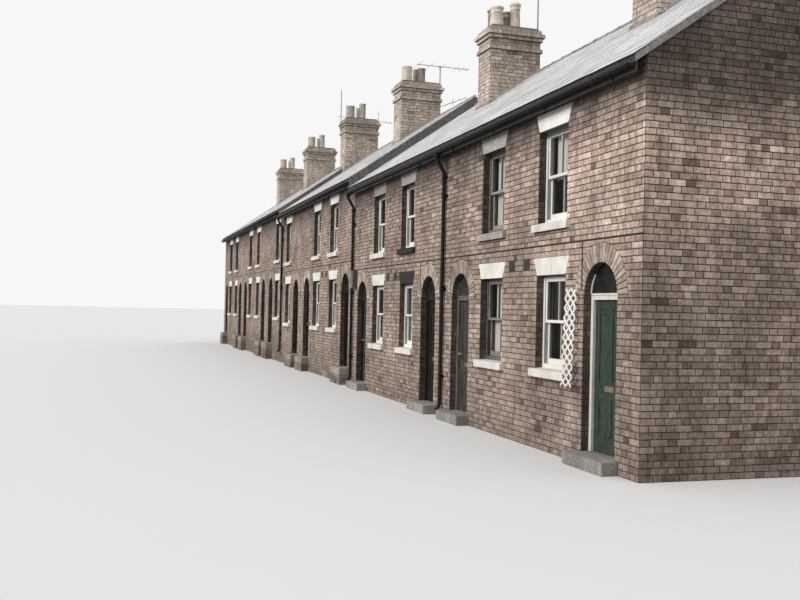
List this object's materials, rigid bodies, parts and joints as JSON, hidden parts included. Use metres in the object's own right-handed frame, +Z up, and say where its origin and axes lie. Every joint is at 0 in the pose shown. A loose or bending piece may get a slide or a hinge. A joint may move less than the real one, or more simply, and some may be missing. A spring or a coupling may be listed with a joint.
{
  "type": "terraced house row",
  "caption": "Two-storey brick terrace row with arched doorways, sash windows, stepped slate roofs and chimney stacks; some front doors open inward.",
  "frame": {"origin": "middle of the row's footprint, on the underside of the middle party wall at the lowest ground", "axes": "+X along the row towards its nearest end, -Y out of the street front, +Z up"},
  "size_m": [39.428, 6.852, 9.7425],
  "materials": {
    "aerial_metal": "weathered",
    "air_brick": "matte",
    "arch_brick": "rough",
    "boards": "matte",
    "box_grey": "painted",
    "brick": "rough",
    "cable_black": "matte",
    "chimney_brick": "rough",
    "door_paint": "painted",
    "fascia_paint": "satin",
    "frame_paint": "painted",
    "glass": "clear",
    "iron": "painted",
    "lintel_paint": "painted",
    "ridge_clay": "matte",
    "sill_paint": "painted",
    "slate": "satin",
    "step_stone": "rough",
    "terracotta": "matte",
    "window_paint": "painted"
  },
  "bodies": {
    "root": {"air_bricks": "air_brick", "chimney_pots": "terracotta", "chimney_stack_1": "chimney_brick", "chimney_stack_2": "chimney_brick", "chimney_stack_3": "chimney_brick", "chimney_stack_4": "chimney_brick", "chimney_stack_5": "chimney_brick", "chimney_stack_6": "chimney_brick", "door_arches": "arch_brick", "door_heads": "frame_paint", "door_posts": "frame_paint", "doorsteps": "step_stone", "downpipes": "iron", "end_wall_far": "brick", "end_wall_near": "brick", "fanlights": "glass", "fascias": "fascia_paint", "first_floors": "boards", "front_doors_fixed": "door_paint", "front_wall_a": "brick", "front_wall_b": "brick", "front_wall_c": "brick", "front_wall_over_doors": "brick", "ground_floors": "boards", "gutters": "iron", "lintels": "lintel_paint", "party_walls": "brick", "rear_doors": "door_paint", "rear_wall_a": "brick", "rear_wall_b": "brick", "rear_wall_c": "brick", "rear_window_glass": "glass", "rear_windows": "window_paint", "ridge_tiles": "ridge_clay", "roof_front_a": "slate", "roof_front_b": "slate", "roof_front_c": "slate", "roof_rear_a": "slate", "roof_rear_b": "slate", "roof_rear_c": "slate", "sills": "sill_paint", "tv_aerials": "aerial_metal", "wall_box": "box_grey", "wall_cables": "cable_black", "window_frames": "window_paint", "window_glass": "glass", "window_sashes": "window_paint"},
    "door_1": {"door_1": "door_paint"},
    "door_2": {"door_2": "door_paint"},
    "door_3": {"door_3": "door_paint"},
    "door_4": {"door_4": "door_paint"},
    "door_5": {"door_5": "door_paint"}
  },
  "joints": [
    {"name": "door_1_hinge", "type": "hinge", "parent": "root", "child": "door_1", "pos_m": [18.3425, -2.952, 0.165], "axis": [0, 0, 1], "range_deg": [0, 95]},
    {"name": "door_2_hinge", "type": "hinge", "parent": "root", "child": "door_2", "pos_m": [14.2575, -2.952, 0.165], "axis": [0, 0, -1], "range_deg": [0, 95]},
    {"name": "door_3_hinge", "type": "hinge", "parent": "root", "child": "door_3", "pos_m": [11.8225, -2.952, 0.165], "axis": [0, 0, 1], "range_deg": [0, 95]},
    {"name": "door_4_hinge", "type": "hinge", "parent": "root", "child": "door_4", "pos_m": [7.7375, -2.952, 0.165], "axis": [0, 0, -1], "range_deg": [0, 95]},
    {"name": "door_5_hinge", "type": "hinge", "parent": "root", "child": "door_5", "pos_m": [5.3025, -2.952, 0.4125], "axis": [0, 0, 1], "range_deg": [0, 95]}
  ]
}
